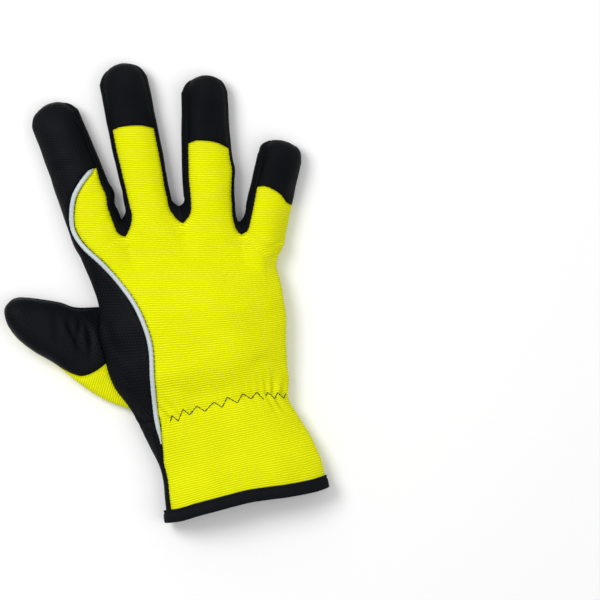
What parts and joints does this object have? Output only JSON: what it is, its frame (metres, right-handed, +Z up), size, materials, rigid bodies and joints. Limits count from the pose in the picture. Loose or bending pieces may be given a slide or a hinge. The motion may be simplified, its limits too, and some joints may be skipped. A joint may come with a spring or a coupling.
{
  "type": "thermal work glove",
  "caption": "Right-hand winter work glove lying palm down, with yellow ribbed cloth back, black grip palm and fingertips, reflective piping, gathered wrist and open cuff.",
  "frame": {"origin": "Middle of the glove's box in plan, on the surface that the palm rests on.", "axes": "+X points from the thumb side to the little finger side, +Y from the cuff to the fingertips, +Z up from the palm side to the back."},
  "size_m": [0.1852, 0.2608, 0.0276],
  "materials": {
    "yellow_cloth": "cross-ribbed woven stretch cloth, matte",
    "grip_cloth": "synthetic leather with a small dot emboss, low sheen",
    "smooth_black": "smooth black cloth of the tip caps and fourchettes, low sheen",
    "piping": "silver-white reflective tape over a cord",
    "binding": "black woven tape, matte"
  },
  "bodies": {
    "root": {"back_panel": "yellow_cloth", "palm_panel": "grip_cloth", "middle_cap": "smooth_black", "ring_cap": "smooth_black", "little_cap": "smooth_black", "fourchette_index_middle": "smooth_black", "fourchette_middle_ring": "smooth_black", "fourchette_ring_little": "smooth_black", "thumb_back": "grip_cloth", "thumb_side_panel": "yellow_cloth", "thumb_front": "grip_cloth", "thumb_saddle_patch": "grip_cloth", "reflective_piping": "piping", "cuff_binding": "binding"}
  },
  "joints": []
}
